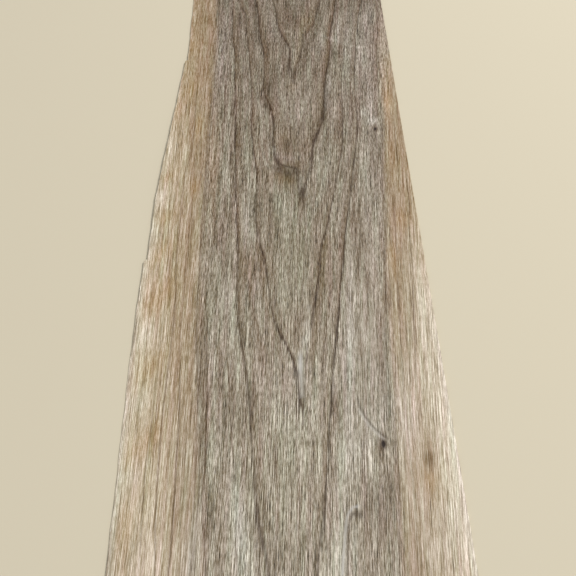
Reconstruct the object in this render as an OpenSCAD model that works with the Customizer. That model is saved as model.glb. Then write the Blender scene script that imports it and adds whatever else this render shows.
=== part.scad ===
// Raw sheet of flat-cut walnut veneer: one leaf, as it came off the slicing knife.
// +Y runs along the grain, +X across it and +Z out of the show face.
// The origin is under the middle of the sheet, on the plane that it lies on.

/* [Sheet] */
// Length along the grain, from one clipped end to the other
sheet_l = 914; // [600:1:1220]
// Width across the grain, at the widest place
sheet_w = 171; // [130:1:240]
// Thickness that the leaf was sliced to
sheet_t = 0.6; // [0.5:0.05:1]

/* [Raw edge] */
// How far the raw edge draws in between its widest places
bow_d = 7; // [0:0.5:12]
// Length from one widest place of the raw edge to the next
bow_pitch = 440; // [300:10:700]
// Place of the widest point along the sheet, from its middle
bow_y = -60; // [-150:5:150]
// How far the ragged outline stands out and in of that bow
ragged_d = 0.25; // [0:0.05:0.6]
// Length of the longer ripple of the ragged outline
ragged_pitch = 37; // [25:1:60]

/* [Torn slivers] */
// Places along the raw edge where a sliver has torn away, from the middle
tear_y = [-51, 133]; // [-250:1:250]
// Depth of a tear at its root
tear_d = 1.9; // [0.5:0.1:3]
// Length over which a tear runs out into the edge
tear_l = 48; // [20:1:70]

/* [Buckled edges] */
// Width of the strip beside the raw edge that has cupped upwards
raw_cup_w = 46; // [25:1:60]
// Height that the raw edge lifts to at the crest of a buckle
raw_cup_h = 1.8; // [0:0.1:4]
// Length of one buckle of the raw edge
raw_cup_pitch = 390; // [250:10:600]
// Place of a crest of the raw edge, from the middle of the sheet
raw_cup_y = 40; // [-150:5:150]
// Width of the strip beside the clipped edge that has cupped upwards
clip_cup_w = 30; // [15:1:50]
// Height that the clipped edge lifts to at the crest of a buckle
clip_cup_h = 0.7; // [0:0.1:3]
// Length of one buckle of the clipped edge
clip_cup_pitch = 310; // [250:10:600]
// Place of a crest of the clipped edge, from the middle of the sheet
clip_cup_y = -120; // [-150:5:150]

/* [Hidden] */

walnut = [0.60, 0.53, 0.45];

// The skin is drawn as cross-sections, one for each row along the grain.
row_pitch = 6;        // longest step between two rows
tear_step = 1.2;      // the root of a tear opens over this length
raw_cup_steps = 6;    // columns across the cupped strip beside the raw edge
clip_cup_steps = 4;   // and beside the clipped edge
ripple_ratio = 0.43;  // the finer ripple of the ragged outline, as a share of the longer

clip_x = sheet_w / 2; // the clipped edge is straight

// Evenly spaced values from a up to but not including b, no further apart than step
function spaced(a, b, step) = let (n = max(1, ceil((b - a) / step))) [for (i = [0:n - 1]) a + (b - a) * i / n];

// Rows from end to end, with one on each side of every tear's root
breaks = concat([-sheet_l / 2], [for (t = tear_y) each [t - tear_step, t]], [sheet_l / 2]);
rows = concat([for (i = [0:len(breaks) - 2]) each spaced(breaks[i], breaks[i + 1], row_pitch)], [sheet_l / 2]);

// A wave that is 1 at its crests and 0 between them
function crest(y, at, pitch) = (1 + cos(360 * (y - at) / pitch)) / 2;

// Depth of a torn sliver: full at its root, running out along the grain
function torn(y, root) = y < root || y > root + tear_l ? 0 : tear_d * (1 - (y - root) / tear_l);

function ragged(y) =
    ragged_d * (sin(360 * y / ragged_pitch) + sin(360 * y / (ragged_pitch * ripple_ratio))) / 2;

// How far the raw edge lies inside a straight line, before it is set to the sheet's width
function drawn_in(y) =
    bow_d * (1 - crest(y, bow_y, bow_pitch)) + ragged(y) + max([for (t = tear_y) torn(y, t)]);

widest = min([for (y = rows) drawn_in(y)]);

function raw_x(y) = -sheet_w / 2 + drawn_in(y) - widest;

// One cross-section: [x, height of the underside] from the raw edge to the clipped one.
// Each edge strip rises as a parabola from the flat middle, by the buckle at that row.
function section(y) =
    let (raw_h = raw_cup_h * crest(y, raw_cup_y, raw_cup_pitch))
    let (clip_h = clip_cup_h * crest(y, clip_cup_y, clip_cup_pitch))
    concat(
        [for (i = [raw_cup_steps:-1:0])
            let (s = i / raw_cup_steps) [raw_x(y) + raw_cup_w * (1 - s), raw_h * s * s]],
        [for (i = [0:clip_cup_steps])
            let (s = i / clip_cup_steps) [clip_x - clip_cup_w * (1 - s), clip_h * s * s]]
    );

columns = raw_cup_steps + clip_cup_steps + 2;
skin_points = len(rows) * columns;

function skin(height) = [for (y = rows) for (p = section(y)) [p.x, y, p.y + height]];

// Two triangles for the four-cornered patch a, b, c, d, given clockwise from outside
function patch(a, b, c, d) = [[a, b, c], [a, c, d]];

function at(row, column, layer) = layer * skin_points + row * columns + column;

module veneer_sheet() {
    show = 0;
    glue = 1;
    last_row = len(rows) - 1;
    last_column = columns - 1;
    faces = concat(
        [for (r = [0:last_row - 1], c = [0:last_column - 1])
            each patch(at(r, c, show), at(r + 1, c, show), at(r + 1, c + 1, show), at(r, c + 1, show))],
        [for (r = [0:last_row - 1], c = [0:last_column - 1])
            each patch(at(r, c, glue), at(r, c + 1, glue), at(r + 1, c + 1, glue), at(r + 1, c, glue))],
        [for (r = [0:last_row - 1])
            each patch(at(r + 1, 0, show), at(r, 0, show), at(r, 0, glue), at(r + 1, 0, glue))],
        [for (r = [0:last_row - 1])
            each patch(at(r, last_column, show), at(r + 1, last_column, show),
                at(r + 1, last_column, glue), at(r, last_column, glue))],
        [for (c = [0:last_column - 1])
            each patch(at(0, c, show), at(0, c + 1, show), at(0, c + 1, glue), at(0, c, glue))],
        [for (c = [0:last_column - 1])
            each patch(at(last_row, c + 1, show), at(last_row, c, show),
                at(last_row, c, glue), at(last_row, c + 1, glue))]
    );
    color(walnut)
        polyhedron(points = concat(skin(sheet_t), skin(0)), faces = faces, convexity = 4);
}

veneer_sheet();
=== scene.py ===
import math

import bmesh
import bpy
import numpy as np
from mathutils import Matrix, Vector
from mathutils.bvhtree import BVHTree


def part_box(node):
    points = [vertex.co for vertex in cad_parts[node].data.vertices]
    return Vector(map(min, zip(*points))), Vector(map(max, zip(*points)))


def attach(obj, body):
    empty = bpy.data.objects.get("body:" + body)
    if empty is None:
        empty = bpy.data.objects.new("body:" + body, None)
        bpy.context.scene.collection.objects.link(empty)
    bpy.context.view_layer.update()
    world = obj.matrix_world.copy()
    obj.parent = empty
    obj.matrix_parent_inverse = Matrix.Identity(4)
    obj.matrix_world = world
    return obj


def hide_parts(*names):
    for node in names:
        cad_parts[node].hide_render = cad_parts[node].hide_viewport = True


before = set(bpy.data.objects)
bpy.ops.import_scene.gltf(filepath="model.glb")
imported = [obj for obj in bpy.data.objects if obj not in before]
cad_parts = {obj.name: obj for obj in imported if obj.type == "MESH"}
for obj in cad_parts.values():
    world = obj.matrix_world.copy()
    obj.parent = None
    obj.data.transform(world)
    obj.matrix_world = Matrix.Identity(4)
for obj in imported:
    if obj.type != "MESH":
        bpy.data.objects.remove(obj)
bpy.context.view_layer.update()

# Camera: a phone held 230 mm above the near part of the sheet and tilted down along it.
# Its height, tilt and lens follow from the sheet's long edges and the point where they meet.
camera = bpy.data.objects.new("camera", bpy.data.cameras.new("camera"))
bpy.context.scene.collection.objects.link(camera)
camera.data.sensor_width = 36
camera.data.lens = 27.06
camera.location = (0.0012, -0.185, 0.2295)
camera.rotation_euler = (math.radians(26.54), 0, math.radians(-0.384))
bpy.context.scene.camera = camera
bpy.context.scene.view_settings.view_transform = "Standard"

# Veneer sheet: one leaf of walnut, 0.6 mm thick, sliced flat off a half log with a long knife.
# Its left edge is the log's own outline, drying has buckled both edge strips upwards,
# and its right edge and its ends are clipped straight.
MM = 0.001
CELLS_ACROSS = 86       # each about 2 mm wide
CELLS_ALONG = 430
SMOOTHING = 5           # rows and columns, each way, over which the solid's facets are rounded off
WELD = 0.001 * MM       # corners closer than this are one corner
SAME_ROW = 0.01 * MM    # corners of one cross-section are closer than this along the sheet
TEAR_STEP = 1 * MM      # the raw edge steps in by more than this only at the root of a torn sliver
PROBE_START = 100 * MM  # height that the probes look down from
EDGE_INSET = 0.05 * MM  # a probe this far inside an edge still meets the solid
SHARP_ANGLE = 40        # degrees, above which an edge is drawn sharp

solid = bmesh.new()
solid.from_mesh(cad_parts["veneer_sheet"].data)
bmesh.ops.remove_doubles(solid, verts=solid.verts, dist=WELD)
low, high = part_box("veneer_sheet")
corners = np.array([corner.co for corner in solid.verts])
edge_y = np.unique(corners[:, 1].round(6))
raw_edge = np.array([corners[np.abs(corners[:, 1] - y) < SAME_ROW, 0].min() for y in edge_y])

# The rows are evenly spaced, but a pair of them sits on each side of a torn sliver's root
row_y = np.linspace(low.y, high.y, CELLS_ALONG + 1)
for root in np.flatnonzero(np.abs(np.diff(raw_edge)) > TEAR_STEP):
    first = np.searchsorted(row_y, edge_y[root])
    row_y[first:first + 2] = edge_y[root:root + 2]
column = np.linspace(0, 1, CELLS_ACROSS + 1)

# How high the show face stands at each crossing of a row and a column
solid_tree = BVHTree.FromBMesh(solid)
down = Vector((0, 0, -1))
top_height = np.empty((CELLS_ALONG + 1, CELLS_ACROSS + 1))
for row, y in enumerate(row_y):
    left = np.interp(y, edge_y, raw_edge) + EDGE_INSET
    probe_y = min(max(y, low.y + EDGE_INSET), high.y - EDGE_INSET)
    for place, share in enumerate(column):
        probe_x = left + share * (high.x - EDGE_INSET - left)
        top_height[row, place] = solid_tree.ray_cast(Vector((probe_x, probe_y, PROBE_START)), down)[0].z
thickness = top_height.min() - low.z
lift = top_height - top_height.min()
for axis in (0, 1):
    padding = [(SMOOTHING, SMOOTHING) if axis == side else (0, 0) for side in (0, 1)]
    padded = np.pad(lift, padding, mode="edge")
    spans = [np.take(padded, range(k, k + lift.shape[axis]), axis=axis) for k in range(2 * SMOOTHING + 1)]
    lift = np.mean(spans, axis=0)
solid.free()

# The leaf's show face starts as a grid one unit wide, which is then laid over the outline
leaf = bmesh.new()
bmesh.ops.create_grid(leaf, x_segments=CELLS_ACROSS, y_segments=CELLS_ALONG, size=0.5)
for corner in leaf.verts:
    row = round((corner.co.y + 0.5) * CELLS_ALONG)
    place = round((corner.co.x + 0.5) * CELLS_ACROSS)
    left = np.interp(row_y[row], edge_y, raw_edge)
    corner.co = (left + column[place] * (high.x - left), row_y[row], lift[row, place] + thickness)

# The cells round the pin knots, the crease, the pale streak and the blunt ring point are split finer,
# in areas given as their least and most x and then y, in mm
FINE_AREAS = [((58, 73), (46, 74)), ((24, 58), (-213, -135)), ((-12, 16), (6, 34))]
FINE_CUTS = 2
fine_cells = [
    face for face in leaf.faces
    if any(
        xs[0] * MM < face.calc_center_median().x < xs[1] * MM
        and ys[0] * MM < face.calc_center_median().y < ys[1] * MM
        for xs, ys in FINE_AREAS
    )
]
leaf.edges.index_update()
fine_edges = sorted({edge for face in fine_cells for edge in face.edges}, key=lambda edge: edge.index)
bmesh.ops.subdivide_edges(leaf, edges=fine_edges, cuts=FINE_CUTS, use_grid_fill=True)
bmesh.ops.triangulate(leaf, faces=[face for face in leaf.faces if len(face.verts) > 4])


def traced(points, at):
    """A smooth line through given points (place along the sheet, value), read at the places at."""
    y, value = np.array(sorted(points), float).T
    slope = np.gradient(value, y)
    k = np.clip(np.searchsorted(y, at) - 1, 0, len(y) - 2)
    step = y[k + 1] - y[k]
    s = np.clip((at - y[k]) / step, 0, 1)
    from_start = (1 + 2 * s) * (1 - s) ** 2 * value[k] + s * (1 - s) ** 2 * step * slope[k]
    from_end = s * s * (3 - 2 * s) * value[k + 1] + s * s * (s - 1) * step * slope[k + 1]
    return from_start + from_end


# Growth rings. The knife met each one in two arms that close to a point towards the near end.
# The points lie on an axis: AXIS is its course and TIPS the ring count along it. Each entry of RINGS gives
# a place along the sheet, then where the left and the right arm cross it, in mm from the sheet's middle,
# and how dark the late wood is in each arm.
AXIS = [(457, 13), (216, 11), (150, 9.5), (107, 7), (60, 8), (0, 12.5), (-60, 5.5),
        (-110, 8), (-130, 8.9), (-150, 9.8), (-212, 3), (-290, 2), (-457, 0)]
TIPS = [(-457, 4.9), (-298, 4.12), (-290, 4), (-158, 3.12), (-150, 3), (-8, 2.12), (0, 2),
        (99, 1.12), (107, 1), (345, 0), (457, -0.5)]
RINGS = [
    [(345, 11, 11, 0.5, 0.5), (380, 5, 18, 0.5, 0.5), (457, -3, 28, 0.5, 0.5)],
    [(107, 7, 7, 1.0, 0.8), (123, 4.6, 9.8, 1.1, 0.6), (136, 4.8, 11.8, 1.1, 0.6),
     (150, 3.7, 14.8, 1.2, 0.7), (166, -2.5, 19, 1.1, 0.6), (180, -6, 26.7, 1.0, 0.9),
     (193, -6.4, 30, 0.8, 0.9), (216, -11, 33.5, 0.7, 0.9), (330, -19, 43, 0.5, 0.5),
     (457, -25, 50, 0.5, 0.5)],
    [(0, 12.3, 12.6, 0.9, 0.9), (9, 10.8, 14.8, 0.8, 1.0), (17, 9.8, 17, 0.8, 0.95),
     (21, 7.5, 17.9, 0.7, 0.95), (22.8, 1, 18.2, 0.8, 0.8), (25, -3, 18.5, 0.9, 0.9),
     (30, -6.2, 19.2, 1.0, 1.0), (38, -8, 20.6, 1.2, 1.1), (48, -8.2, 22.8, 1.0, 1.3),
     (60, -8, 26.6, 0.8, 1.0), (72, -9, 30, 1.6, 1.3), (85, -11.8, 31, 1.7, 2.0),
     (95, -15.3, 31.7, 1.4, 2.2), (113, -16, 33.2, 1.5, 1.8), (141, -16.8, 37.7, 1.3, 2.0),
     (166, -20.5, 39.2, 1.2, 1.9), (191, -22.3, 42.9, 1.4, 1.8), (216, -25.5, 46, 1.2, 1.7),
     (330, -33, 55, 0.9, 0.9), (457, -38, 63, 0.8, 0.8)],
    [(-150, 9.8, 9.8, 1.0, 0.9), (-138, 8.6, 10, 1.2, 0.5), (-128, 7.5, 10.4, 1.3, 0.5),
     (-114, 4.6, 11.9, 1.2, 0.6), (-106, 0.2, 12.9, 1.2, 0.6), (-93, -5.1, 15.3, 0.9, 0.7),
     (-76, -8.9, 19.2, 0.6, 1.0), (-57, -11.8, 21.8, 1.1, 1.0), (-42, -15, 23.4, 0.8, 0.9),
     (-28, -17.8, 27, 0.8, 0.9), (-10, -19.2, 31.4, 0.6, 0.9), (10, -19.4, 35.1, 0.6, 0.7),
     (30, -21, 39.4, 1.2, 0.9), (45, -23, 41.7, 1.1, 1.0), (65, -24.4, 43.3, 0.9, 1.0),
     (80, -24.3, 44.2, 0.7, 0.5), (116, -25.9, 45.9, 0.7, 0.6), (141, -28, 48.6, 0.9, 0.6),
     (172, -31.1, 52, 0.9, 0.5), (196, -33.7, 55.3, 1.0, 0.5), (205, -37.4, 56.8, 1.0, 0.8),
     (216, -41, 58.4, 1.0, 0.8), (330, -45, 68, 0.6, 0.6), (457, -48, 76, 0.6, 0.6)],
    [(-290, 2, 2, 0.9, 0.9), (-250, -3.5, 9, 1.0, 0.9), (-212, -8.2, 14, 1.0, 0.9),
     (-190, -13, 17.9, 0.9, 1.0), (-165, -15.9, 21, 0.6, 1.1), (-145, -18.4, 23.3, 1.0, 1.2),
     (-122, -21.6, 25.8, 0.6, 1.1), (-95, -25.9, 29.8, 0.7, 1.2), (-70, -28.2, 33.3, 0.5, 1.0),
     (-45, -28.9, 36.8, 0.8, 1.2), (-25, -30.2, 39.7, 1.1, 1.3), (0, -32.2, 44, 0.9, 0.9),
     (22, -34, 47.3, 1.0, 1.2), (50, -34.8, 52, 1.9, 0.8), (70, -35.3, 53.8, 0.9, 0.9),
     (90, -37, 54, 1.0, 0.8), (110, -38.6, 54.5, 1.2, 1.0), (141, -40, 57.7, 0.8, 0.7),
     (163, -42.4, 60.4, 1.1, 1.4), (188, -43.8, 64, 1.3, 1.5), (216, -45, 69, 1.0, 1.4),
     (330, -50, 79, 0.6, 0.6), (457, -54, 88, 0.6, 0.6)],
    [(-457, -30, 40, 0.3, 0.3), (-212, -43, 50.5, 0.3, 0.3), (-190, -43.3, 53.3, 0.3, 0.3),
     (-160, -44.6, 55.8, 0.25, 0.25), (-125, -46.8, 55.6, 0.25, 0.25), (-100, -49.6, 57, 0.25, 0.25),
     (-65, -51.2, 60.5, 0.25, 0.25), (-30, -52.4, 64.3, 0.25, 0.25), (0, -53, 66.3, 0.25, 0.25),
     (20, -53.8, 67.6, 0.25, 0.25), (50, -54.2, 71.3, 0.3, 0.3), (100, -53.5, 73, 0.3, 0.3),
     (136, -54, 75, 0.3, 0.3), (181, -55.5, 80, 0.3, 0.3), (216, -58, 83, 0.3, 0.3),
     (457, -66, 98, 0.4, 0.4)],
]
SAP_RING = 7.0   # mm between two rings in the sapwood, outside the last traced one
RING_GAP = 0.2   # mm that an arm keeps outside the ring within it
NOT_ZERO = 0.01  # mm, the least distance that is divided by
TIP_ROUNDING = 0.4  # how much slower the count rises beside the axis, inside a new point
TIP_BLEND = 0.35  # part of a ring over which that rounding fades
TIP_ROOM = 10    # mm between the axis and an arm, below which the ring's brown band thins out


def rings_at(x, y):
    """Ring count, with its part of a ring, and darkness of the late wood's line and band at places in mm."""
    axis = traced(AXIS, y)
    inner_level = np.interp(y, *np.array(sorted(TIPS)).T)
    away = np.abs(x - axis)
    reach = np.zeros_like(x)
    level = inner_level.copy()
    count = inner_level.copy()
    dark_here = np.full_like(x, RINGS[0][0][3])
    darkness = dark_here.copy()
    room = np.ones_like(x)
    for number, ring in enumerate(RINGS):
        ring_y, *measures = zip(*ring)
        left, right, dark_left, dark_right = [traced(list(zip(ring_y, measure)), y) for measure in measures]
        dark_next = np.where(x < axis, dark_left, dark_right)
        is_open = inner_level < number
        arm = np.where(x < axis, axis - left, right - axis)
        reach_next = np.where(is_open, np.maximum(arm, reach + RING_GAP), 0)
        level_next = np.maximum(number, inner_level)
        share = np.clip((away - reach) / np.maximum(reach_next - reach, NOT_ZERO), 0, 1)
        rounding = 1 + TIP_ROUNDING * np.clip(1 - (number - 1 - inner_level) / TIP_BLEND, 0, 1)
        count += (level_next - level) * share ** rounding
        darkness += (dark_next - dark_here) * share
        inside = (share > 0) & (share < 1)
        room[inside] = np.clip(reach_next[inside] / TIP_ROOM, 0, 1)
        reach, level, dark_here = reach_next, level_next, dark_next
    return count + np.maximum(away - reach, 0) / SAP_RING, darkness, darkness * room ** 2


# Fibres. They fan out slightly towards the far end, so a fibre keeps its own line number, in mm
FAN_CENTRE = -37.5
FAN_RATE = 0.0008


def fibre_line(x, y):
    """The line number of the fibre at each place."""
    return (x - FAN_CENTRE) * np.exp(-FAN_RATE * y) + FAN_CENTRE


# Sapwood: the pale outer wood of the log. These lines divide it from the heartwood, in mm
SAP_LEFT = [(457, -68), (216, -58), (110, -53.5), (47, -52.5), (-15, -52), (-65, -50), (-115, -47.5),
            (-165, -42), (-212, -36), (-330, -28), (-457, -22)]
SAP_RIGHT = [(457, 112), (216, 94), (160, 87), (135, 82.5), (110, 78.5), (80, 75), (47, 71), (22, 67.5),
             (-15, 64.5), (-47, 61.5), (-80, 58.5), (-115, 57), (-152, 56), (-212, 51), (-330, 47),
             (-457, 42)]
SAP_BLUR_IN = 2.8   # mm
SAP_BLUR_OUT = 4.8  # mm
# How far the sapwood has turned from tan to cream: a place along the sheet, then a share
SAP_PALING = {"left": [(150, 0), (-20, 0.85), (-200, 1)], "right": [(20, 0), (-60, 0.5), (-110, 1)]}


def spot(x, y, marks):
    """Soft oval marks, each given as x, y, half width, half length, lean in degrees and strength."""
    total = np.zeros_like(x)
    for at_x, at_y, half_width, half_length, lean, strength in marks:
        turn = math.radians(lean)
        across = (x - at_x) * math.cos(turn) - (y - at_y) * math.sin(turn)
        along = (x - at_x) * math.sin(turn) + (y - at_y) * math.cos(turn)
        total += strength * np.exp(-(across / half_width) ** 2 - (along / half_length) ** 2)
    return total


def stroke(x, y, points, half_width):
    """A soft line along given points."""
    nearest = np.full_like(x, np.inf)
    for (x0, y0), (x1, y1) in zip(points, points[1:]):
        length = math.hypot(x1 - x0, y1 - y0)
        share = np.clip(((x - x0) * (x1 - x0) + (y - y0) * (y1 - y0)) / length ** 2, 0, 1)
        nearest = np.minimum(nearest, np.hypot(x - x0 - share * (x1 - x0), y - y0 - share * (y1 - y0)))
    return np.exp(-(nearest / half_width) ** 2)


def strokes(x, y, lines):
    """Soft lines, each given as its points, half width and strength."""
    return sum(strength * stroke(x, y, points, half_width) for points, half_width, strength in lines)


# Thin brown lines that the traced rings leave out, each with x, y and strength at its points.
# Neighbours are in different sets, so that each line has room beside it for its own offset.
LINES = [
    [
        [(-76, 60, 0.2), (-75, 10, 0.3), (-73.5, -25, 0.35), (-70.5, -60, 0.3), (-69.5, -95, 0.35),
         (-68.4, -140, 0.4), (-68, -178, 0.6), (-66.2, -200, 0.5), (-65, -230, 0.3), (-62, -300, 0)],
        [(-58, 30, 0), (-60.5, 0, 0.3), (-60, -35, 0.4), (-59.3, -75, 0.3), (-57.6, -110, 0.35),
         (-56, -128, 0.8), (-54.5, -145, 0.8), (-53.8, -165, 0.8), (-52.8, -182, 0.9), (-52, -225, 0.7),
         (-47, -330, 0)],
        [(-47.5, 130, 0), (-46.5, 80, 0.6), (-44.6, 55, 0.9), (-43, 32, 0.9), (-43.6, 5, 0.6),
         (-44.5, -30, 0.4), (-46, -80, 0.8), (-44, -95, 0.8), (-43, -108, 0.6), (-41.5, -125, 0.8),
         (-40.4, -147, 0.9), (-39.5, -168, 0.9), (-39.2, -188, 0.9), (-37.2, -200, 0.9), (-34, -225, 0.6),
         (-26, -330, 0)],
        [(-14.5, 95, 0.7), (-12, 84, 0.9), (-9.5, 74, 0.5), (-8.6, 66, 0)],
        [(65.8, 38, 0), (65.4, 33, 0.9), (64.3, 24, 0.8), (63.2, 12, 0.9), (62.3, 0, 0.7),
         (61.2, -16, 0.4), (59, -60, 0)],
        [(83.5, 20, 0), (82.5, 8, 0.7), (81.6, -10, 0.4), (80, -20, 0.5), (78, -45, 0.5), (77, -62, 0.3),
         (74.5, -82, 0.5), (72.5, -105, 0.4), (70.5, -120, 0.5), (69.5, -130, 0)],
        [(-60, 300, 0), (-55.5, 181, 0.5), (-54, 136, 0.4), (-54.8, 60, 0.6), (-53.8, 20, 0.5),
         (-53, -5, 0.8), (-52.6, -30, 0.7), (-51.3, -60, 0.7), (-50.5, -88, 0.7), (-48.4, -112, 0.8),
         (-46, -132, 0.7), (-44.5, -160, 0.7), (-43.4, -182, 0.6), (-43, -214, 0.5), (-38, -330, 0.4)],
        [(83.5, 216, 0.4), (80.5, 187, 0.6), (77.5, 165, 0.6), (75, 145, 0.5), (73, 115, 0.4),
         (72.5, 65, 0.4), (70, 42, 0.6), (67.8, 20, 0.5), (66.2, 0, 0.4), (64.6, -28, 0.8),
         (62.6, -45, 0.7), (59.6, -72, 0.9), (57.9, -92, 0.9), (56.4, -108, 0.9), (55.8, -130, 0.6),
         (56, -150, 0.5), (54.6, -178, 0.7), (52.4, -198, 0.7), (50.4, -214, 0.7), (44, -330, 0.3)],
    ],
    [
        [(-67.5, 130, 0), (-66.3, 90, 0.5), (-65, 60, 0.6), (-65, 35, 0.5), (-66.5, 20, 0.4),
         (-66.5, -30, 0.4), (-65.8, -55, 0.5), (-63.6, -78, 0.7), (-63.2, -100, 0.5), (-63, -150, 0.8),
         (-62, -172, 0.7), (-60.8, -190, 0.7), (-59, -205, 0.7), (-56, -240, 0.4), (-50, -330, 0)],
        [(-33.5, -95, 0), (-31.6, -112, 0.6), (-30, -125, 0.8), (-28, -147, 0.8), (-25.5, -168, 0.9),
         (-23.5, -190, 0.9), (-21.6, -214, 0.8), (-14, -330, 0)],
        [(36.9, -38, 0), (36.6, -44, 1), (36.3, -50, 1), (36, -56, 0)],
        [(78.5, 80, 0), (80.4, 60, 0.5), (79, 45, 0.7), (78.4, 28, 0.4), (77, 0, 0)],
        [(72.5, 0, 0), (71.3, -14, 0.6), (70.4, -28, 0.6), (68, -60, 0.3), (66.4, -77, 0.7),
         (65.4, -92, 0.6), (64.3, -107, 0.5), (63, -128, 0.4), (61, -190, 0.3), (58, -230, 0)],
    ],
]
LINE_ROOM = 4.2  # mm, each side of a line

# Marks in the wood, in mm: x, y, half width, half length, lean in degrees, strength
BROWN_MARKS = [
    (23, 176, 3.5, 8, 8, 0.6), (6, 104, 2.5, 8, 0, 0.5), (1, 14.5, 8.5, 8, 15, 1.05),
    (27, 69, 3.5, 10, 12, 0.9), (-5, 27, 2.5, 6, -35, 0.6), (25, -68, 4, 18, 6, 0.5),
    (25, -38, 2.5, 18, 9, 0.5), (-36, -182, 3, 10, 0, 0.4), (46.5, -163, 3, 5, 10, 0.8),
    (70.8, -165.5, 3.3, 5, 0, 1.4), (76, -157, 2, 6, 4, 0.3), (70, -180, 4.5, 9, 3, 0.3),
    (77, -182, 3, 4, 0, 0.3), (-65, 55, 1.8, 22, 1, 0.4), (-68.5, 88, 3, 12, 0, 0.3),
    (-39, -195, 1.6, 5, 0, 0.6), (-67.5, -153, 0.9, 5, 0, 0.7), (-61.5, -195, 1.3, 3.5, 5, 0.5),
    (-69, -200, 1.5, 7, 0, 0.4), (63, -117, 1.6, 12, 3, 0.5), (52, -128, 2, 5, 0, 0.5),
    (57.8, -78, 1.6, 5, 4, 0.7), (-46.5, -95, 3.5, 22, -5, 0.6), (-41, -150, 2, 12, -4, 0.5),
    (11.5, -5, 1.7, 9, 0, 1.0), (9.9, -153, 0.9, 8, 0, 0.6), (4, 9, 6, 6, 0, 0.5), (-5, 14, 6, 5, 0, 0.5),
    (-11, 100, 4, 13, 0, 0.6), (65, 12, 2.5, 18, 4, 0.3), (-23, -56, 6, 14, -5, 0.8),
    (-25, -85, 2, 16, -6, 0.5), (-81, -212, 5, 16, 0, 0.7), (64, -212, 10, 14, 0, 0.2),
    (-62, -25, 5, 50, 0, 0.2), (68.5, -72, 1.5, 6, 4, 0.5), (73, -90, 0.8, 16, 6, 0.5),
    (47.6, -159.5, 1.8, 1.8, 30, 0.6), (-1, 22, 1.5, 4, -15, 0.6),
]
DARK_MARKS = [
    (-10.8, 101, 4.2, 12, 0, 1.1), (-12.8, 82, 2.2, 7, -10, 1.2), (6.5, 18.2, 2.8, 5, 0, 1.0),
    (2, 15.5, 3, 4, 0, 0.4), (-3.5, 20, 4.5, 5, -35, 0.5), (-4, 20, 3.5, 5.5, -30, 0.5),
    (1.8, 17, 2, 4.5, -20, 0.6), (11.8, -3.5, 1.6, 7, 0, 1.3), (11, 0, 2, 4, 0, 0.8),
    (28.6, 71, 2.4, 10, 8, 0.6), (22.6, 51, 1.8, 8, 16, 0.7), (-9.5, 44, 1.6, 10, 0, 0.6),
    (-5, 26, 1.5, 4.5, -25, 0.8), (47, -182, 5, 18, 12, 0.15), (42, -190, 6, 9, 0, 0.25),
    (50, -178, 2, 7, 0, 0.4), (33.8, -189.5, 2.6, 2, 0, 1.2), (71, -164.5, 1.8, 3.2, 0, 0.15),
    (43, -179, 5, 10, -20, 0.2), (-20.3, 163, 2.2, 17, -6, 0.95), (-23.5, 197, 2.2, 14, -8, 0.8),
    (27, 67, 2.2, 5, 10, 0.95), (62.5, 53, 2.2, 3, 0, 0.5), (70.5, 58, 1.6, 3.5, 8, 0.5),
    (48, 27, 1.2, 4, 5, 0.5), (66, 42, 3, 8, 5, 0.3), (55.8, -118, 1, 4, 10, 0.5),
    (-49, -103, 1.6, 14, -5, 0.2), (53, -135, 2, 9, 0, 0.3), (17.5, -84, 2, 10, 5, 0.4),
    (25, -35, 2, 14, 10, 0.3), (-18, -135, 2.5, 7, -5, 0.5), (-33, -80, 3, 18, -6, 0.2),
    (-36, -85, 5, 25, -4, 0.12), (-30, -142, 5, 20, -8, 0.14), (-42, 160, 1.5, 16, -6, 0.3),
    (60, -78, 1.5, 10, 5, 0.4), (3, 43, 5, 7, 0, 1.0), (35, -82, 3, 18, 6, 0.1),
    (-37.5, -192, 1.6, 14, 0, 0.3), (31.6, 96, 2, 22, 3, 1.3), (36.2, 133, 1.6, 16, 10, 0.5),
    (42, 190, 1.6, 16, 10, 0.4), (58.5, 145, 1.4, 3, 0, 0.5), (-16, -192, 3, 8, -12, 0.3),
]
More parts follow.
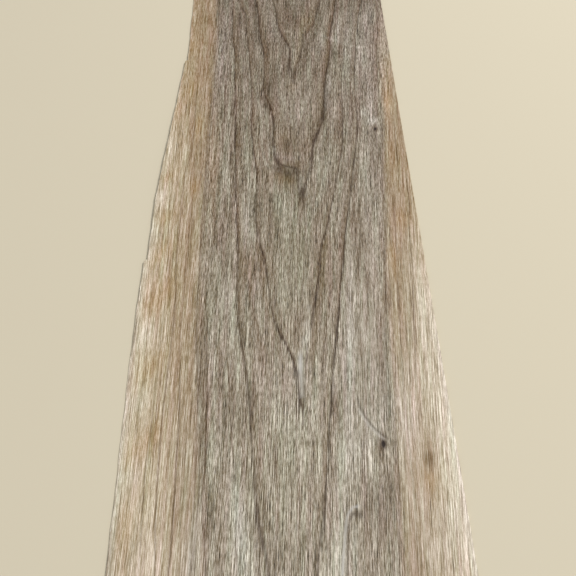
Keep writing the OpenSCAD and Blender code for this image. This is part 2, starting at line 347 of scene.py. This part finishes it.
PALE_MARKS = [
    (13, -107, 0.9, 8, 5, 0.5), (52, -140, 4, 16, 0, 0.4), (66, 90, 4, 25, 4, 0.35),
    (-42, -207, 3, 15, 0, 0.35), (82, 165, 6, 40, 4, 0.1), (64.5, 65.5, 4, 3.8, 0, 1.1),
    (59.5, 75, 3.5, 6, 20, 0.6), (75, 190, 2.5, 12, 5, 0.4), (34, -128, 2.5, 30, 4.6, 0.6),
    (38, -80, 1.5, 35, 4.6, 0.6), (44, -137, 6, 22, 0, 0.25), (29, -166, 5, 20, 5, 0.4),
    (38, -160, 6, 12, 10, 0.4), (47, -148, 3, 8, 0, 0.2), (24, -203, 2, 15, 5, 0.1),
    (36, -112, 2, 22, 4.6, 0.4), (33, 93, 1.5, 18, 4, 0.4), (66, -172, 1.6, 25, 3, 0.3),
    (-21.5, -195, 2.2, 24, -9, 1.2), (-30, -85, 1.8, 22, -4, 0.25), (-8, 172, 3, 16, -6, 0.3),
    (31, 155, 4, 16, 8, 0.4), (44.8, 168, 1.2, 14, 5, 1.0), (35.2, 103, 0.6, 11, 4, 0.8),
    (66, 148, 7, 45, 6, 0.3), (60, 10, 7, 45, 4, 0.25), (-41, -190, 1.5, 18, 0, 0.3),
    (-24, -25, 2.5, 20, -2, 0.45), (12.5, -100, 1, 8, 8, 0.5), (-50, 150, 4, 40, 0, 0.3),
    (12, 12, 1.3, 9, 6, 0.4), (30, 20, 4, 20, 5, 0.2), (-50, 120, 3, 60, 0, 0.25),
    (-30, -100, 2, 30, -5, 0.1), (52, 150, 5, 60, 5, 0.3), (31, -203, 1.2, 10, 3, 0.4),
    (-42, -208, 3, 15, 0, 0.35), (62, -150, 5, 18, 0, 0.25), (0, -220, 70, 30, 0, 0.2),
    (67, -200, 11, 30, 0, 0.1), (40, -108, 20, 28, 5, 0.14), (66, -108, 6, 26, 4, 0.22),
    (-49, -172, 4, 26, -4, 0.22), (68, 182, 8, 26, 5, 0.16),
]
# Paler wood with a painted sheen beside the clipped edge, and painted highlights in patches on the crests of
# the raw one
SHEEN_AND_PALE_MARKS = [
    (81, -150, 10, 75, 0, 0.55), (66, -150, 8, 30, 0, 0.05), (77, -55, 5, 24, 4, 0.22),
    (-73, -172, 4, 24, 0, 0.16), (76, -190, 7, 22, 0, 0.35), (62, -138, 6, 18, 0, 0.2),
    (66, -30, 4, 25, 4, 0.15), (78, 95, 6, 60, 5, 0.17), (86, 165, 7, 45, 8, 0.17),
    (80, -85, 5, 25, 3, 0.25), (-66, -205, 7, 14, 0, 0.2), (-42, -207, 4, 16, 0, 0.35),
    (63, -140, 5, 20, 0, 0.25), (59.5, -163, 2.5, 20, 4, 0.35), (-78, -99, 5, 9, 20, 0.55),
    (-77, -137, 4.5, 7, 20, 0.5), (-77, -174, 5, 7, 10, 0.4), (-81, -32, 3, 9, 0, 0.5),
    (-80, -4, 3, 8, 0, 0.6), (-79, 40, 4, 14, 0, 0.4),
]
RIM_WIDTH = 3.5       # mm over which the pale rim of the near half fades; along the clipped edge the rim is also a painted highlight where the edge catches the light
# Where the hue leans towards green, below zero, and towards pink, above it
TINT_MARKS = [
    (6, -40, 9, 40, 0, -1.2), (2, -165, 9, 30, 0, -0.5), (36, -110, 3, 50, 4.6, 0.1),
    (-28, -95, 3, 32, -6, -0.7), (62, -150, 6, 25, 0, 0.3), (-22, -190, 4, 25, -9, -0.2),
    (27, -170, 5, 30, 5, -0.2), (-25, 30, 5, 32, -2, -0.7), (28, 22, 5, 24, 5, -0.7),
    (12, 148, 2.5, 42, 6, -0.2), (22, 188, 4.5, 14, 14, -0.5), (4, 44, 5, 9, 0, -0.4),
    (5, 15, 6, 8, 0, -0.3), (1, 30, 7, 4, 0, 1.0), (-3, -8, 9, 20, 0, -0.5), (50, -75, 6, 50, 5, 0.5),
    (-30, -20, 3, 18, 0, 0.7), (-5, -125, 7, 20, -15, 0.6), (-38, -195, 5, 25, 0, 0.4),
    (-20, -60, 6, 25, -6, 0.6), (27, -60, 4, 30, 8, 0.5), (44, -185, 8, 16, 0, 0.5),
    (8, 80, 12, 30, 0, 0.4), (-50, 150, 6, 60, 0, 0.5), (66, 110, 8, 60, 5, 0.7), (78, 180, 8, 30, 5, 0.7),
    (-60, -190, 8, 30, 0, 0.3), (68, -180, 9, 45, 0, 0.3),
]
# Gold where the cupped sapwood beside the raw edge turns from the light, in short bands across the grain
GOLD_MARKS = [
    (-73.5, -160, 5, 11, 38, 0.6), (-66, -151, 4, 9, 0, 0.35), (-72, -118, 5, 9, 30, 0.6),
    (-49, 30, 4, 60, -2, 0.3), (-75, -78, 6, 12, 20, 0.55), (-68, -70, 4, 10, 0, 0.35),
    (-75, -46, 5, 9, 30, 0.5), (-76, -20, 4, 8, 32, 0.5), (21, 187, 5, 15, 14, 0.2),
    (-60, -60, 6, 70, -3, 0.15), (2, 45, 6, 9, 0, 0.3), (12, 150, 2, 40, 6, 0.2),
    (-62, 60, 2.5, 12, 0, 0.6), (-60, 4, 2.5, 8, 0, 0.6), (-78, 13, 3, 7, 40, 0.5),
    (-79, 75, 4, 10, 0, 0.4), (-74, -195, 4, 12, 0, 0.5), (-70, 100, 5, 14, 0, 0.4),
    (-74, 150, 5, 14, 0, 0.3), (-76, -240, 5, 6, 40, 0.6), (74, 30, 4, 20, 4, 0.3),
    (78, 84, 3, 12, 4, 0.6), (66.5, -50, 3, 12, 3, 0.6), (63.5, -108, 2, 18, 3, 0.3),
    (75, -22, 5, 9, 3, 0.5), (71, -173, 6, 13, 0, 1.0), (77, -182, 3.5, 4, 0, 0.5),
    (66, -95, 3, 30, 4, 0.2), (79, 108, 4.5, 45, 5, 0.5), (82, 170, 5, 40, 8, 0.2),
]
# Quiet wood, where the pores hardly show and the fibres run on as long fine lines
QUIET_MARKS = [(45, -105, 9, 45, 5, 0.8), (46, -20, 8, 40, 6, 0.3), (34, -110, 3, 50, 5, 0.3)]

# Soft lines in the wood, each as its points, half width and strength. First brown bands beside the rings
BROWN_LINES = [
    ([(14, -114), (17, -95), (20, -75), (23, -54), (27, -36)], 2.8, 0.8),
    ([(-4.5, -98), (-10.5, -76), (-14, -58), (-17.5, -40)], 1.8, 0.6),
    ([(-8, -64), (-12, -45)], 2.5, 0.4),
]
# The stained rim of the blunt ring point, and the shade beside the pale streak
DARK_LINES = [
    ([(-7.2, 34), (-5.6, 28.5), (-2.8, 24.5), (1, 22.6), (6, 22.2), (9, 21), (9.9, 18)], 1.1, 0.6),
    ([(27.2, -213), (28, -204), (28.9, -196), (30, -191.5), (32, -189)], 0.6, 0.8),
]
# The pale rim of the eye above the blunt point, and scuffs that run across the grain towards the far end
PALE_LINES = [
    ([(-6.2, 39), (-3.5, 32.5), (0.5, 28.8), (5, 29.2), (9, 33)], 3, 0.25),
    ([(27, 168), (38, 160), (56, 151), (74, 142)], 1.0, 0.25),
    ([(47, 141), (57, 135), (70, 129)], 1.0, 0.25),
    ([(59, 146), (64, 139), (72, 133)], 1.0, 0.25),
]
# Smooth light lines: the pale streak with its hook, two at the sharp ring point, and one along the crease
STREAK_LINES = [
    ([(25.3, -213), (26.3, -205), (27.4, -198), (28.4, -192), (29.8, -188.6), (31.8, -186.5), (34.5, -186)],
     0.6, 0.75),
    ([(8.1, -111), (8.5, -122), (9.1, -134)], 0.6, 0.6),
    ([(9.2, -112), (10.8, -101), (13.2, -88), (15.6, -75)], 0.5, 0.3),
    ([(38, -141), (40.2, -145.5), (43.7, -150.6), (46.7, -153.6), (49.5, -155.8)], 0.5, 0.5),
]
STREAK_MARKS = [(8.1, -117, 1.1, 6, 3, 0.6), (25, -212, 1.3, 9, 6, 0.25)]
CREASE = [(37, -124), (37.6, -134), (38.8, -140), (41, -144.5), (44.5, -149.6), (47.5, -152.5),
          (51.2, -155.6)]
CREASE_HALF_WIDTH = 0.6  # mm
CREASE_DEPTH = 0.10      # mm
# The darkening along the crease is painted shade in its groove
CREASE_SHADE = 0.8

# Pin knots: x, y, half width and half length of the core, in mm
PIN_KNOTS = [(65.8, 57.6, 0.8, 1.3), (49.2, -158.3, 0.95, 1.7)]
KNOT_RIM = 1.9       # the swirl of fibres round a knot is this much wider than its core
KNOT_RISE = 0.12     # mm
KNOT_PIT = 0.25      # mm
KNOT_DARKNESS = 1.8
HALO_WIDTH = 3       # times the core's half width
HALO_LENGTH = 2      # times its half length

# Curl: short waves across the grain, where the fibres undulate and the face has rippled slightly
CURLS = [(62, 148, 13, 18, 0, 1), (-20, 195, 11, 20, 0, 1), (12, 186, 8, 20, 0, 0.6),
         (60, 90, 8, 20, 0, 0.5)]
CURL_PITCH = 6.5     # mm
CURL_LEAN = 0.25     # mm along the grain for each mm across it
CURL_HEIGHT = 0.02   # mm


def curl_wave(x, y):
    """The curl's ripples, from -1 to 1, where there are any."""
    return spot(x, y, CURLS) * np.sin(2 * math.pi * (y + CURL_LEAN * x) / CURL_PITCH)


x, y = np.array([corner.co.xy for corner in leaf.verts]).T / MM
relief = np.zeros_like(x)
for at_x, at_y, half_width, half_length in PIN_KNOTS:
    rim = [(at_x, at_y, half_width * KNOT_RIM, half_length * KNOT_RIM, 0, KNOT_RISE)]
    pit = [(at_x, at_y, half_width, half_length, 0, -KNOT_PIT)]
    relief += spot(x, y, rim) + spot(x, y, pit)
relief -= CREASE_DEPTH * stroke(x, y, CREASE, CREASE_HALF_WIDTH)
relief += CURL_HEIGHT * curl_wave(x, y)
for corner, rise in zip(leaf.verts, relief):
    corner.co.z += rise * MM

# The underside is the same face, one thickness lower, and a wall of fibres joins them at the rim.
# The faces of that wall come in any order, so all faces are sorted, to make the same mesh each run
bmesh.ops.recalc_face_normals(leaf, faces=leaf.faces)
top_faces = leaf.faces[:]
shell = bmesh.ops.extrude_face_region(leaf, geom=top_faces, use_keep_orig=True)
underside = [part for part in shell["geom"] if isinstance(part, bmesh.types.BMVert)]
for corner in underside:
    corner.co.z = max(corner.co.z - thickness, low.z)
leaf.faces.index_update()
centres = np.array([face.calc_center_median() for face in leaf.faces]).round(7)
ranks = np.argsort(np.lexsort(centres.T)).tolist()
leaf.faces.sort(key=lambda face: ranks[face.index])
bmesh.ops.recalc_face_normals(leaf, faces=leaf.faces)
leaf.normal_update()
for face in leaf.faces:
    face.smooth = True
for edge in leaf.edges:
    edge.smooth = edge.calc_face_angle(0) < math.radians(SHARP_ANGLE)

sheet_mesh = bpy.data.meshes.new("veneer_leaf")
leaf.to_mesh(sheet_mesh)
leaf.free()
sheet = bpy.data.objects.new("veneer_leaf", sheet_mesh)
bpy.context.scene.collection.objects.link(sheet)
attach(sheet, "root")
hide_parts("veneer_sheet")

places = np.empty(len(sheet_mesh.vertices) * 3)
sheet_mesh.vertices.foreach_get("co", places)
x, y, z = places.reshape(-1, 3).T / MM


def give(name, values):
    """Stores one number for each corner of the sheet, for the material to read."""
    kind = "FLOAT_VECTOR" if values.ndim == 2 else "FLOAT"
    field = "vector" if values.ndim == 2 else "value"
    sheet_mesh.attributes.new(name, kind, "POINT").data.foreach_set(field, values.astype(np.float32).ravel())


ring_count, late_line, late_band = rings_at(x, y)
give("ring_count", ring_count)
give("late_line", late_line)
give("late_band", late_band)
give("fibre_place", np.stack([fibre_line(x, y), y, z], axis=1) * MM)
outside = np.maximum(traced(SAP_LEFT, y) - x, x - traced(SAP_RIGHT, y))
give("sap_depth", outside)
left_paling = np.interp(y, *np.array(sorted(SAP_PALING["left"])).T)
right_paling = np.interp(y, *np.array(sorted(SAP_PALING["right"])).T)
sap_paling = np.where(x < 0, left_paling, right_paling)
give("sap_paling", sap_paling)
give("brown", spot(x, y, BROWN_MARKS) + strokes(x, y, BROWN_LINES))
give("dark", spot(x, y, DARK_MARKS) + strokes(x, y, DARK_LINES))
give("gold", spot(x, y, GOLD_MARKS))
give("tint", spot(x, y, TINT_MARKS))
give("pale", spot(x, y, PALE_MARKS) + strokes(x, y, PALE_LINES))
give("pale_streak", spot(x, y, STREAK_MARKS) + strokes(x, y, STREAK_LINES))
# Painted shade along the crease's groove
give("crease", CREASE_SHADE * stroke(x, y, CREASE, CREASE_HALF_WIDTH))
cores = [(at_x, at_y, half_width, half_length, 0, KNOT_DARKNESS)
         for at_x, at_y, half_width, half_length in PIN_KNOTS]
halos = [(at_x, at_y, half_width * HALO_WIDTH, half_length * HALO_LENGTH, 0, 1)
         for at_x, at_y, half_width, half_length in PIN_KNOTS]
give("knot", spot(x, y, cores))
give("knot_halo", spot(x, y, halos))
give("curl", curl_wave(x, y))
# Painted sheen and highlights, over wood that is partly paler
give("sheen_and_pale", spot(x, y, SHEEN_AND_PALE_MARKS))
give("quiet", spot(x, y, QUIET_MARKS))
edge_gap = np.minimum(x - np.interp(y * MM, edge_y, raw_edge) / MM, high.x / MM - x)
# Pale rim along both edges: paler wood, and along the clipped edge also a painted highlight
give("rim", np.clip(1 - edge_gap / RIM_WIDTH, 0, 1) * sap_paling ** 3)

# The offset from the nearest thin line of each set, and that line's strength, which fades over the outer
# half of its room. There are two sets, and the third number of each vector stays without a line
offsets = np.full((len(x), 3), LINE_ROOM)
strengths = np.zeros((len(x), 3))
for number, lines in enumerate(LINES):
    for points in lines:
        off = x - traced([(py, px) for px, py, amount in points], y)
        here = np.interp(y, *np.array(sorted((py, amount) for px, py, amount in points)).T, left=0, right=0)
        nearer = (np.abs(off) < np.abs(offsets[:, number])) & (here > 0)
        offsets[nearer, number] = off[nearer]
        strengths[nearer, number] = (here * np.clip(2 - 2 * np.abs(off) / LINE_ROOM, 0, 1))[nearer]
give("line_offset", offsets)
give("line_strength", strengths)

# American walnut, sliced and left raw: no polish, so it is matt, with open pores cut along their length.
# They show as short dark dashes, and the fibres between them catch the light as paler ones.
walnut = bpy.data.materials.new("raw_sliced_walnut")
walnut.use_nodes = True
tree = walnut.node_tree


def add(kind, settings, inputs):
    """A node with its settings and its inputs, each a value, a socket or another node."""
    made = tree.nodes.new("ShaderNode" + kind)
    for name, value in settings.items():
        setattr(made, name, value)
    in_use = [socket for socket in made.inputs if socket.enabled]
    for name, value in inputs.items():
        socket = in_use[name] if isinstance(name, int) else next(s for s in in_use if s.name == name)
        if isinstance(value, bpy.types.Node):
            value = next(s for s in value.outputs if s.enabled)
        if isinstance(value, bpy.types.NodeSocket):
            tree.links.new(value, socket)
        else:
            socket.default_value = value
    return made


def colour(code):
    """An sRGB hex colour as linear light."""
    parts = [int(code[k:k + 2], 16) / 255 for k in (0, 2, 4)]
    return [part / 12.92 if part <= 0.04045 else ((part + 0.055) / 1.055) ** 2.4 for part in parts] + [1]


def noise_at(place, detail):
    """Noise that is about one unit from crest to crest, with some octaves of finer noise."""
    return add("TexNoise", {}, {"Vector": place, "Scale": 1, "Detail": detail, "Roughness": 0.6})


def mix(share, first, second, blend="MIX"):
    """Two colours, mixed by the share of the second."""
    return add("Mix", {"data_type": "RGBA", "blend_type": blend}, {"Factor": share, "A": first, "B": second})


def cover(under, mask, most, code):
    """A colour with another laid over it, where the mask says and by so much at most."""
    share = add("Math", {"operation": "MULTIPLY", "use_clamp": True}, {0: mask, 1: most})
    return mix(share, under, colour(code))


def stored(name, output):
    """Reads what give() has stored under this name."""
    return add("Attribute", {"attribute_name": name}, {}).outputs[output]


fibre_place = stored("fibre_place", "Vector")
read = {
    name: stored(name, "Fac")
    for name in (
        "ring_count", "late_line", "late_band", "sap_depth", "sap_paling", "sheen_and_pale", "rim", "brown",
        "dark", "gold", "tint", "pale", "pale_streak", "crease", "knot", "knot_halo", "curl", "quiet",
    )
}
along = add("SeparateXYZ", {}, {"Vector": fibre_place}).outputs["Y"]

# Pores and fibres, each a noise drawn out along the grain: width and length in mm, octaves of finer noise.
# Real pores are 0.2 mm wide and are drawn 0.26 mm wide, so that they show from a reading distance
GRAIN = {
    "pore": (0.26, 4, 2), "fibre": (0.27, 22, 2), "fleck": (0.6, 0.8, 1), "mottle": (1.3, 7, 1),
    "stripe": (0.6, 60, 1), "streak": (2.8, 120, 1), "waver": (16, 60, 1), "hue": (10, 90, 3),
    "tint": (3.5, 50, 2),
}
grain = {}
for name, (width, length, detail) in GRAIN.items():
    scale = (1 / (width * MM), 1 / (length * MM), 1 / (length * MM))
    place = add("Mapping", {}, {"Vector": fibre_place, "Scale": scale})
    grain[name] = noise_at(place, detail)

# The rings waver on their way along the sheet, and each fibre carries their edges a little further
# out or in. The amounts are parts of a ring
ring = read["ring_count"]
for name, amount in (("waver", 0.08), ("fibre", 0.10), ("stripe", 0.08)):
    step = add("MapRange", {}, {"Value": grain[name], "To Min": -amount, "To Max": amount})
    ring = add("Math", {"operation": "ADD"}, {0: ring, 1: step})

# Streaks: stripes of colour that follow the rings, many to a ring and each several cm long
STREAK_LENGTH = 60 * MM
streaks = {}
for name, per_ring, detail in (("broad", 5, 2), ("fine", 16, 3)):
    ring_place = add("Math", {"operation": "MULTIPLY"}, {0: ring, 1: per_ring})
    length_place = add("Math", {"operation": "DIVIDE"}, {0: along, 1: STREAK_LENGTH})
    streak_place = add("CombineXYZ", {}, {"X": ring_place, "Y": length_place, "Z": per_ring})
    streaks[name] = noise_at(streak_place, detail)

# Late wood: each ring turns brown towards its outer side, then ends in a narrow dark line
LATE_BAND = [(0.0, 0.4), (0.04, 0.0), (0.5, 0.0), (0.92, 0.6), (1.0, 0.6)]
LATE_LINE = [(0.0, 1.0), (0.035, 0.0), (0.93, 0.0), (0.985, 1.0), (1.0, 1.0)]
part_of_ring = add("Math", {"operation": "FRACT"}, {0: ring})
late = {}
for name, levels in (("band", LATE_BAND), ("line", LATE_LINE)):
    ramp = add("ValToRGB", {}, {"Fac": part_of_ring})
    for number, (place, level) in enumerate(levels):
        stops = ramp.color_ramp.elements
        stop = stops[number] if number < 2 else stops.new(place)
        stop.position = place
        stop.color = (level, level, level, 1)
    late[name] = add(
        "Math", {"operation": "MULTIPLY", "use_clamp": True}, {0: ramp, 1: read["late_" + name]},
    )

# The thin lines between the rings
LINE_HALF_WIDTH = 0.8  # mm
line_away = add("VectorMath", {"operation": "ABSOLUTE"}, {0: stored("line_offset", "Vector")})
line_shape = add(
    "MapRange", {"data_type": "FLOAT_VECTOR"},
    {"Vector": line_away, "From Max": (LINE_HALF_WIDTH,) * 3, "To Min": (1, 1, 1), "To Max": (0, 0, 0)},
)
thin_line = add(
    "VectorMath", {"operation": "DOT_PRODUCT"},
    {0: line_shape.outputs["Vector"], 1: stored("line_strength", "Vector")},
)

# Heartwood: stripes of mauve-brown and of grey, darker and browner towards the far end
heart_tone = add("MapRange", {}, {"Value": streaks["broad"], "From Min": 0.35, "From Max": 0.65})
hue_share = add("MapRange", {}, {"Value": grain["hue"], "From Min": 0.38, "From Max": 0.62})
nearness = add("MapRange", {}, {"Value": along, "From Min": 0.20, "From Max": -0.19})
heart_tints = []
for brown_code, mauve_code, grey_code in (("6D5A47", "786656", "867A69"), ("8F7F6B", "988975", "B4AA98")):
    dark_tint = mix(hue_share, colour(brown_code), colour(mauve_code))
    heart_tints.append(mix(heart_tone, dark_tint, colour(grey_code)))
heart = mix(nearness, *heart_tints)

# Sapwood: tan beside the heartwood and paler outwards
sap_edge_noise = add("MapRange", {}, {"Value": streaks["fine"], "To Min": -6, "To Max": 6})
sap_wavy = add("Math", {"operation": "ADD"}, {0: read["sap_depth"], 1: sap_edge_noise})
sap_share = add(
    "MapRange", {"interpolation_type": "SMOOTHSTEP"},
    {"Value": sap_wavy, "From Min": -SAP_BLUR_IN, "From Max": SAP_BLUR_OUT},
)
sap_outward = add("MapRange", {}, {"Value": sap_wavy, "From Min": 7, "From Max": 27})
sap_tints = []
for inner_code, outer_code in (("9E876D", "B29C7E"), ("B19E86", "CEBDA4")):
    sap_tints.append(mix(sap_outward, colour(inner_code), colour(outer_code)))
sap = mix(read["sap_paling"], *sap_tints)
wood = mix(sap_share, heart, sap)

# Marks: stains, late wood, thin lines, pale streaks and knots. In the sapwood late wood hardly shows
LATE_IN_SAP = 0.15
late_in_heart = add("MapRange", {}, {"Value": sap_share, "To Min": 1, "To Max": LATE_IN_SAP})
band_seen = add("Math", {"operation": "MULTIPLY"}, {0: late["band"], 1: late_in_heart})
line_seen = add("Math", {"operation": "MULTIPLY"}, {0: late["line"], 1: late_in_heart})

# Each layer is where it lies, how much it covers at most and its colour
layers = [
    (read["gold"], 0.7, "B18C5B"),
    # painted sheen and highlights, over partly paler wood
    (read["sheen_and_pale"], 0.75, "E1D6C6"),
    # pale edge wood, with a painted highlight along the clipped edge
    (read["rim"], 0.75, "E6DBCD"),
    (read["brown"], 0.6, "755E3C"),
    (band_seen, 0.6, "6F5334"),
    (read["dark"], 0.7, "4F3E2B"),
    (line_seen, 0.9, "402A12"),
    (thin_line.outputs["Value"], 0.8, "5A3E1E"),
    (read["pale"], 0.7, "C6BFB3"),
    # painted shade in the crease
    (read["crease"], 0.9, "574B3E"),
    (read["knot_halo"], 0.7, "5A4430"),
]
for mask, most, code in layers:
    wood = cover(wood, mask, most, code)

# Pores, fibres and streaks change how bright the wood is. Each has the spread of its noise, then its amount
# in heartwood and in sapwood. Quiet heartwood takes the sapwood's amount
TONES = [
    (grain["pore"], 0.1, 0.57, 0.25), (grain["fibre"], 0.1, 0.65, 0.44),
    (grain["fleck"], 0.2, 0.14, 0.08), (grain["mottle"], 0.2, 0.06, 0.03),
    (grain["stripe"], 0.2, 0.17, 0.14), (grain["streak"], 0.2, 0.15, 0.15),
    (streaks["fine"], 0.2, 0.10, 0.08),
]
QUIETEST = 0.9
EVEN_CHANGE = -0.08
CURL_SHEEN = 0.05
quiet_share = add(
    "Math", {"operation": "MULTIPLY_ADD", "use_clamp": True}, {0: read["quiet"], 1: QUIETEST, 2: sap_share},
)
change = EVEN_CHANGE
for noise, spread, in_heart, in_sap in TONES:
    tone = add(
        "MapRange", {},
        {"Value": noise, "From Min": 0.5 - spread, "From Max": 0.5 + spread, "To Min": -1, "To Max": 1},
    )
    amount = add("MapRange", {}, {"Value": quiet_share, "To Min": in_heart, "To Max": in_sap})
    change = add("Math", {"operation": "MULTIPLY_ADD"}, {0: tone, 1: amount, 2: change})
curl_seen = add("Math", {"operation": "MULTIPLY_ADD"}, {0: read["curl"], 1: CURL_SHEEN, 2: change})

# The square of one plus half the change, so that dark grain never turns black. Dark grain is also richer
half_seen = add("Math", {"operation": "MULTIPLY_ADD"}, {0: curl_seen, 1: 0.5, 2: 1.0})
brightness = add("Math", {"operation": "POWER"}, {0: half_seen, 1: 2.0})
richness = add(
    "MapRange", {}, {"Value": brightness, "From Min": 0.6, "From Max": 1.4, "To Min": 1.4, "To Max": 0.68},
)
grained = add("HueSaturation", {}, {"Color": wood, "Saturation": richness, "Value": brightness})

# The hue drifts between slightly pink and slightly green from one bundle of fibres to the next
tint_noise = add("MapRange", {}, {"Value": grain["tint"], "From Min": 0.22, "From Max": 0.78})
TINT_LEAN = 0.4
tint_share = add(
    "Math", {"operation": "MULTIPLY_ADD", "use_clamp": True}, {0: read["tint"], 1: TINT_LEAN, 2: tint_noise},
)
hue_drift = mix(tint_share, colour("F6FFF5"), colour("FFF6F8"))
tinted = mix(1.0, grained, hue_drift, "MULTIPLY")

# Hard, smooth spots that hide the grain: the pale streak and the black hearts of the pin knots
face_colour = tinted
for mask, most, code in ((read["pale_streak"], 0.8, "C8C4BD"), (read["knot"], 1.0, "231205")):
    face_colour = cover(face_colour, mask, most, code)

# The knife leaves the cut pores as shallow grooves and the fibres standing a little between them
PORE_DEPTH = 0.06 * MM
height = add("Math", {"operation": "ADD"}, {0: grain["pore"], 1: grain["fibre"]})
bump = add("Bump", {}, {"Strength": 0.35, "Distance": PORE_DEPTH, "Height": height})
finish = tree.nodes["Principled BSDF"]
finish.inputs["Roughness"].default_value = 0.62
finish.inputs["IOR"].default_value = 1.5
finish.inputs["Specular IOR Level"].default_value = 0.35
tree.links.new(next(s for s in face_colour.outputs if s.enabled), finish.inputs["Base Color"])
tree.links.new(bump.outputs["Normal"], finish.inputs["Normal"])
sheet_mesh.materials.append(walnut)

# Floor: a plain pale board for the sheet to lie on
FLOOR_GAP = 0.05 * MM
FLOOR_HALF_WIDTH = 4  # m
floor_mesh = bpy.data.meshes.new("floor")
floor_shape = bmesh.new()
bmesh.ops.create_grid(floor_shape, x_segments=1, y_segments=1, size=FLOOR_HALF_WIDTH)
bmesh.ops.translate(floor_shape, verts=floor_shape.verts, vec=(0, 0, -FLOOR_GAP))
floor_shape.to_mesh(floor_mesh)
floor_shape.free()
floor = bpy.data.objects.new("floor", floor_mesh)
bpy.context.scene.collection.objects.link(floor)
pale_board = bpy.data.materials.new("pale_painted_board")
pale_board.use_nodes = True
pale_board.node_tree.nodes["Principled BSDF"].inputs["Base Color"].default_value = colour("D6CCB4")
pale_board.node_tree.nodes["Principled BSDF"].inputs["Roughness"].default_value = 0.9
floor_mesh.materials.append(pale_board)

# Light: an even sky of soft light, and one broad lamp from the upper right
world = bpy.data.worlds.new("studio")
bpy.context.scene.world = world
world.use_nodes = True
world.node_tree.nodes["Background"].inputs["Color"].default_value = (1, 1, 1, 1)
world.node_tree.nodes["Background"].inputs["Strength"].default_value = 0.5
lamp = bpy.data.objects.new("soft_lamp", bpy.data.lights.new("soft_lamp", "AREA"))
bpy.context.scene.collection.objects.link(lamp)
lamp.data.size = 0.75
lamp.data.energy = 78
lamp.location = (2.0, 1.0, 2.4)
lamp.rotation_euler = (Vector((0, 0, 0)) - lamp.location).to_track_quat("-Z", "Y").to_euler()
